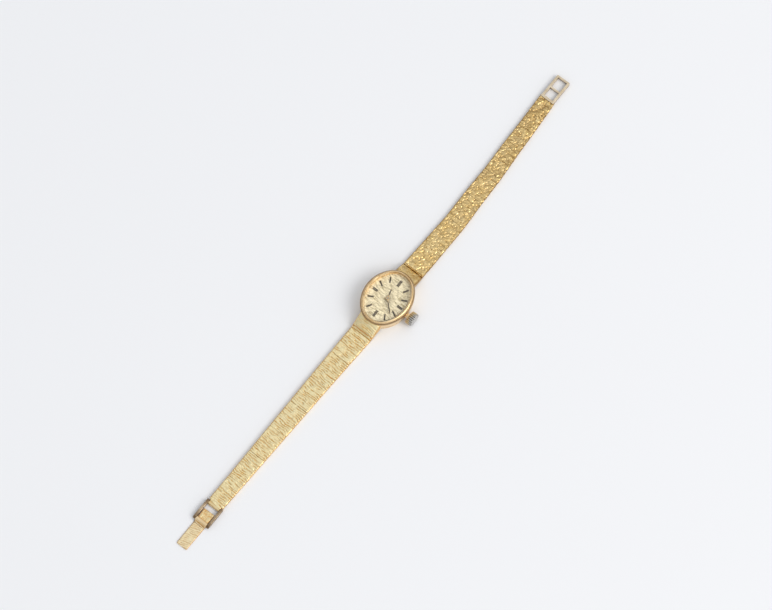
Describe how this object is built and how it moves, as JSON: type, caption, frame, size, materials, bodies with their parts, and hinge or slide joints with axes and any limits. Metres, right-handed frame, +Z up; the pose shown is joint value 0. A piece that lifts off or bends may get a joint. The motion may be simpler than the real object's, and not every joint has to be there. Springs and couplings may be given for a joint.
{
  "type": "oval wristwatch",
  "caption": "Oval mechanical dress wristwatch laid open: geared movement under a champagne dial, fluted crown, and a joined bark-textured mesh bracelet with ladder and clasp.",
  "frame": {"origin": "centre of the case back's flat outer face", "axes": "+Z up out of the dial, +Y to twelve o'clock along the bracelet, +X to three o'clock and the crown"},
  "size_m": [0.0177, 0.1811, 0.0062],
  "materials": {
    "gold_case": "polished gold plate, lightly worn",
    "gold_bezel": "polished rose-yellow gold plate",
    "gold_mesh": "bark-textured woven gold plate",
    "gold_fittings": "polished gold plate, worn",
    "crown_metal": "worn silvery plate",
    "dial_paint": "champagne with fine linen lines",
    "marker_black": "gloss black",
    "hand_gold": "polished with a black line",
    "clear_crystal": "clear",
    "plated_plate": "nickel plated, fine grained",
    "wheel_brass": "brushed and gilt",
    "polished_steel": "polished",
    "spring_steel": "blued",
    "red_jewel": "polished synthetic ruby"
  },
  "bodies": {
    "case": {"case_middle": "gold_case", "case_back": "gold_case", "bezel": "gold_bezel", "crystal": "clear_crystal", "movement_ring": "plated_plate", "dial": "dial_paint", "hour_markers": "marker_black", "crown_tube": "gold_case", "mainplate": "plated_plate", "barrel_bridge": "plated_plate", "train_bridge": "plated_plate", "balance_cock": "plated_plate", "bridge_screws": "polished_steel", "jewels": "red_jewel", "upper_end_piece": "gold_mesh", "lower_end_piece": "gold_mesh"},
    "minute": {"centre_wheel": "wheel_brass", "cannon_pinion": "polished_steel", "minute_hand": "hand_gold"},
    "hour": {"hour_wheel": "wheel_brass", "hour_hand": "hand_gold"},
    "minute_wheel": {"minute_wheel": "wheel_brass"},
    "barrel": {"mainspring_barrel": "wheel_brass", "mainspring": "spring_steel"},
    "third": {"third_wheel": "wheel_brass"},
    "fourth": {"fourth_wheel": "wheel_brass"},
    "escape": {"escape_wheel": "polished_steel"},
    "pallet_fork": {"pallet_fork": "polished_steel"},
    "balance": {"balance_wheel": "wheel_brass", "hairspring": "spring_steel"},
    "winding": {"winding_pinion": "polished_steel", "clutch_wheel": "polished_steel"},
    "crown_wheel": {"crown_wheel": "polished_steel"},
    "ratchet": {"barrel_arbor": "polished_steel", "ratchet_wheel": "polished_steel"},
    "click": {"click": "polished_steel"},
    "setting_lever": {"setting_lever": "polished_steel"},
    "crown": {"crown": "crown_metal", "winding_stem": "polished_steel"},
    "ladder": {"ladder": "gold_fittings"},
    "clasp": {"clasp_frame": "gold_fittings", "clasp_hinge_pin": "gold_fittings"},
    "clasp_tongue": {"clasp_tongue": "gold_fittings"},
    "upper_mesh_1": {"upper_mesh_1": "gold_mesh"},
    "upper_mesh_2": {"upper_mesh_2": "gold_mesh"},
    "upper_mesh_3": {"upper_mesh_3": "gold_mesh"},
    "upper_mesh_4": {"upper_mesh_4": "gold_mesh"},
    "upper_mesh_5": {"upper_mesh_5": "gold_mesh"},
    "upper_mesh_6": {"upper_mesh_6": "gold_mesh"},
    "upper_mesh_7": {"upper_mesh_7": "gold_mesh"},
    "lower_mesh_1": {"lower_mesh_1": "gold_mesh"},
    "lower_mesh_2": {"lower_mesh_2": "gold_mesh"},
    "lower_mesh_3": {"lower_mesh_3": "gold_mesh"},
    "lower_mesh_4": {"lower_mesh_4": "gold_mesh"},
    "lower_mesh_5": {"lower_mesh_5": "gold_mesh"},
    "lower_mesh_6": {"lower_mesh_6": "gold_mesh"},
    "lower_mesh_7": {"lower_mesh_7": "gold_mesh"}
  },
  "joints": [
    {"name": "minute_turn", "type": "hinge", "parent": "case", "child": "minute", "pos_m": [0, 0, 0], "axis": [0, 0, -1], "continuous": true},
    {"name": "barrel_turn", "type": "hinge", "parent": "case", "child": "barrel", "pos_m": [0.0014, 0.003, 0], "axis": [0, 0, -1], "continuous": true},
    {"name": "third_turn", "type": "hinge", "parent": "case", "child": "third", "pos_m": [0.00141, -0.00181, 0], "axis": [0, 0, -1], "continuous": true},
    {"name": "fourth_turn", "type": "hinge", "parent": "case", "child": "fourth", "pos_m": [-0.00017, -0.00238, 0], "axis": [0, 0, -1], "continuous": true},
    {"name": "escape_turn", "type": "hinge", "parent": "case", "child": "escape", "pos_m": [-0.00141, -0.00325, 0], "axis": [0, 0, -1], "continuous": true},
    {"name": "minute_wheel_turn", "type": "hinge", "parent": "case", "child": "minute_wheel", "pos_m": [-0.0008, 0.00139, 0], "axis": [0, 0, -1], "continuous": true},
    {"name": "hour_turn", "type": "hinge", "parent": "case", "child": "hour", "pos_m": [0, 0, 0], "axis": [0, 0, -1], "continuous": true},
    {"name": "balance_swing", "type": "hinge", "parent": "case", "child": "balance", "pos_m": [-0.003, -0.0019, 0], "axis": [0, 0, 1], "range_deg": [-135, 135], "stiffness_Nm_per_rad": 0.000000045},
    {"name": "pallet_swing", "type": "hinge", "parent": "case", "child": "pallet_fork", "pos_m": [-0.00227, -0.00252, 0], "axis": [0, 0, 1], "range_deg": [-5, 5]},
    {"name": "click_lift", "type": "hinge", "parent": "case", "child": "click", "pos_m": [-0.00141, 0.00347, 0], "axis": [0, 0, 1], "range_deg": [0, 10], "stiffness_Nm_per_rad": 0.00001},
    {"name": "crown_pull", "type": "slide", "parent": "case", "child": "setting_lever", "axis": [1, 0, 0], "range_m": [0, 0.0006]},
    {"name": "crown_turn", "type": "hinge", "parent": "setting_lever", "child": "crown", "pos_m": [0, 0, 0.0022], "axis": [1, 0, 0], "continuous": true},
    {"name": "winding_turn", "type": "hinge", "parent": "case", "child": "winding", "pos_m": [0, 0, 0.0022], "axis": [1, 0, 0], "continuous": true},
    {"name": "crown_wheel_turn", "type": "hinge", "parent": "case", "child": "crown_wheel", "pos_m": [0.00341, 0, 0], "axis": [0, 0, 1], "continuous": true},
    {"name": "ratchet_turn", "type": "hinge", "parent": "case", "child": "ratchet", "pos_m": [0.0014, 0.003, 0], "axis": [0, 0, 1], "continuous": true},
    {"name": "upper_mesh_hinge_1", "type": "hinge", "parent": "case", "child": "upper_mesh_1", "pos_m": [0, 0.01285, 0.00062], "axis": [-1, 0, 0], "range_deg": [-6, 22.5]},
    {"name": "upper_mesh_hinge_2", "type": "hinge", "parent": "upper_mesh_1", "child": "upper_mesh_2", "pos_m": [0, 0.02229, 0.00062], "axis": [-1, 0, 0], "range_deg": [-6, 22.5]},
    {"name": "upper_mesh_hinge_3", "type": "hinge", "parent": "upper_mesh_2", "child": "upper_mesh_3", "pos_m": [0, 0.03174, 0.00062], "axis": [-1, 0, 0], "range_deg": [-6, 22.5]},
    {"name": "upper_mesh_hinge_4", "type": "hinge", "parent": "upper_mesh_3", "child": "upper_mesh_4", "pos_m": [0, 0.04118, 0.00062], "axis": [-1, 0, 0], "range_deg": [-6, 22.5]},
    {"name": "upper_mesh_hinge_5", "type": "hinge", "parent": "upper_mesh_4", "child": "upper_mesh_5", "pos_m": [0, 0.05062, 0.00062], "axis": [-1, 0, 0], "range_deg": [-6, 22.5]},
    {"name": "upper_mesh_hinge_6", "type": "hinge", "parent": "upper_mesh_5", "child": "upper_mesh_6", "pos_m": [0, 0.06006, 0.00062], "axis": [-1, 0, 0], "range_deg": [-6, 22.5]},
    {"name": "upper_mesh_hinge_7", "type": "hinge", "parent": "upper_mesh_6", "child": "upper_mesh_7", "pos_m": [0, 0.06951, 0.00062], "axis": [-1, 0, 0], "range_deg": [-6, 22.5]},
    {"name": "ladder_hinge", "type": "hinge", "parent": "upper_mesh_7", "child": "ladder", "pos_m": [0, 0.07895, 0.00062], "axis": [-1, 0, 0], "range_deg": [-6, 22.5]},
    {"name": "lower_mesh_hinge_1", "type": "hinge", "parent": "case", "child": "lower_mesh_1", "pos_m": [0, -0.01285, 0.00062], "axis": [1, 0, 0], "range_deg": [-6, 22.5]},
    {"name": "lower_mesh_hinge_2", "type": "hinge", "parent": "lower_mesh_1", "child": "lower_mesh_2", "pos_m": [0, -0.02231, 0.00062], "axis": [1, 0, 0], "range_deg": [-6, 22.5]},
    {"name": "lower_mesh_hinge_3", "type": "hinge", "parent": "lower_mesh_2", "child": "lower_mesh_3", "pos_m": [0, -0.03176, 0.00062], "axis": [1, 0, 0], "range_deg": [-6, 22.5]},
    {"name": "lower_mesh_hinge_4", "type": "hinge", "parent": "lower_mesh_3", "child": "lower_mesh_4", "pos_m": [0, -0.04122, 0.00062], "axis": [1, 0, 0], "range_deg": [-6, 22.5]},
    {"name": "lower_mesh_hinge_5", "type": "hinge", "parent": "lower_mesh_4", "child": "lower_mesh_5", "pos_m": [0, -0.05068, 0.00062], "axis": [1, 0, 0], "range_deg": [-6, 22.5]},
    {"name": "lower_mesh_hinge_6", "type": "hinge", "parent": "lower_mesh_5", "child": "lower_mesh_6", "pos_m": [0, -0.06014, 0.00062], "axis": [1, 0, 0], "range_deg": [-6, 22.5]},
    {"name": "lower_mesh_hinge_7", "type": "hinge", "parent": "lower_mesh_6", "child": "lower_mesh_7", "pos_m": [0, -0.06959, 0.00062], "axis": [1, 0, 0], "range_deg": [-6, 22.5]},
    {"name": "clasp_hinge", "type": "hinge", "parent": "lower_mesh_7", "child": "clasp", "pos_m": [0, -0.07905, 0.00066], "axis": [1, 0, 0], "range_deg": [-6, 22.5]},
    {"name": "tongue_hinge", "type": "hinge", "parent": "clasp", "child": "clasp_tongue", "pos_m": [0, -0.0848, 0.00072], "axis": [-1, 0, 0], "range_deg": [0, 165]}
  ],
  "couplings": [
    {"joint": "barrel_turn", "follows": "minute_turn", "ratio": -0.16667},
    {"joint": "third_turn", "follows": "minute_turn", "ratio": -8},
    {"joint": "fourth_turn", "follows": "minute_turn", "ratio": 60},
    {"joint": "escape_turn", "follows": "minute_turn", "ratio": -600},
    {"joint": "minute_wheel_turn", "follows": "minute_turn", "ratio": -0.33333},
    {"joint": "hour_turn", "follows": "minute_turn", "ratio": 0.083333},
    {"joint": "winding_turn", "follows": "crown_turn", "ratio": 1},
    {"joint": "crown_wheel_turn", "follows": "crown_turn", "ratio": 0.875},
    {"joint": "ratchet_turn", "follows": "crown_turn", "ratio": -0.525}
  ]
}
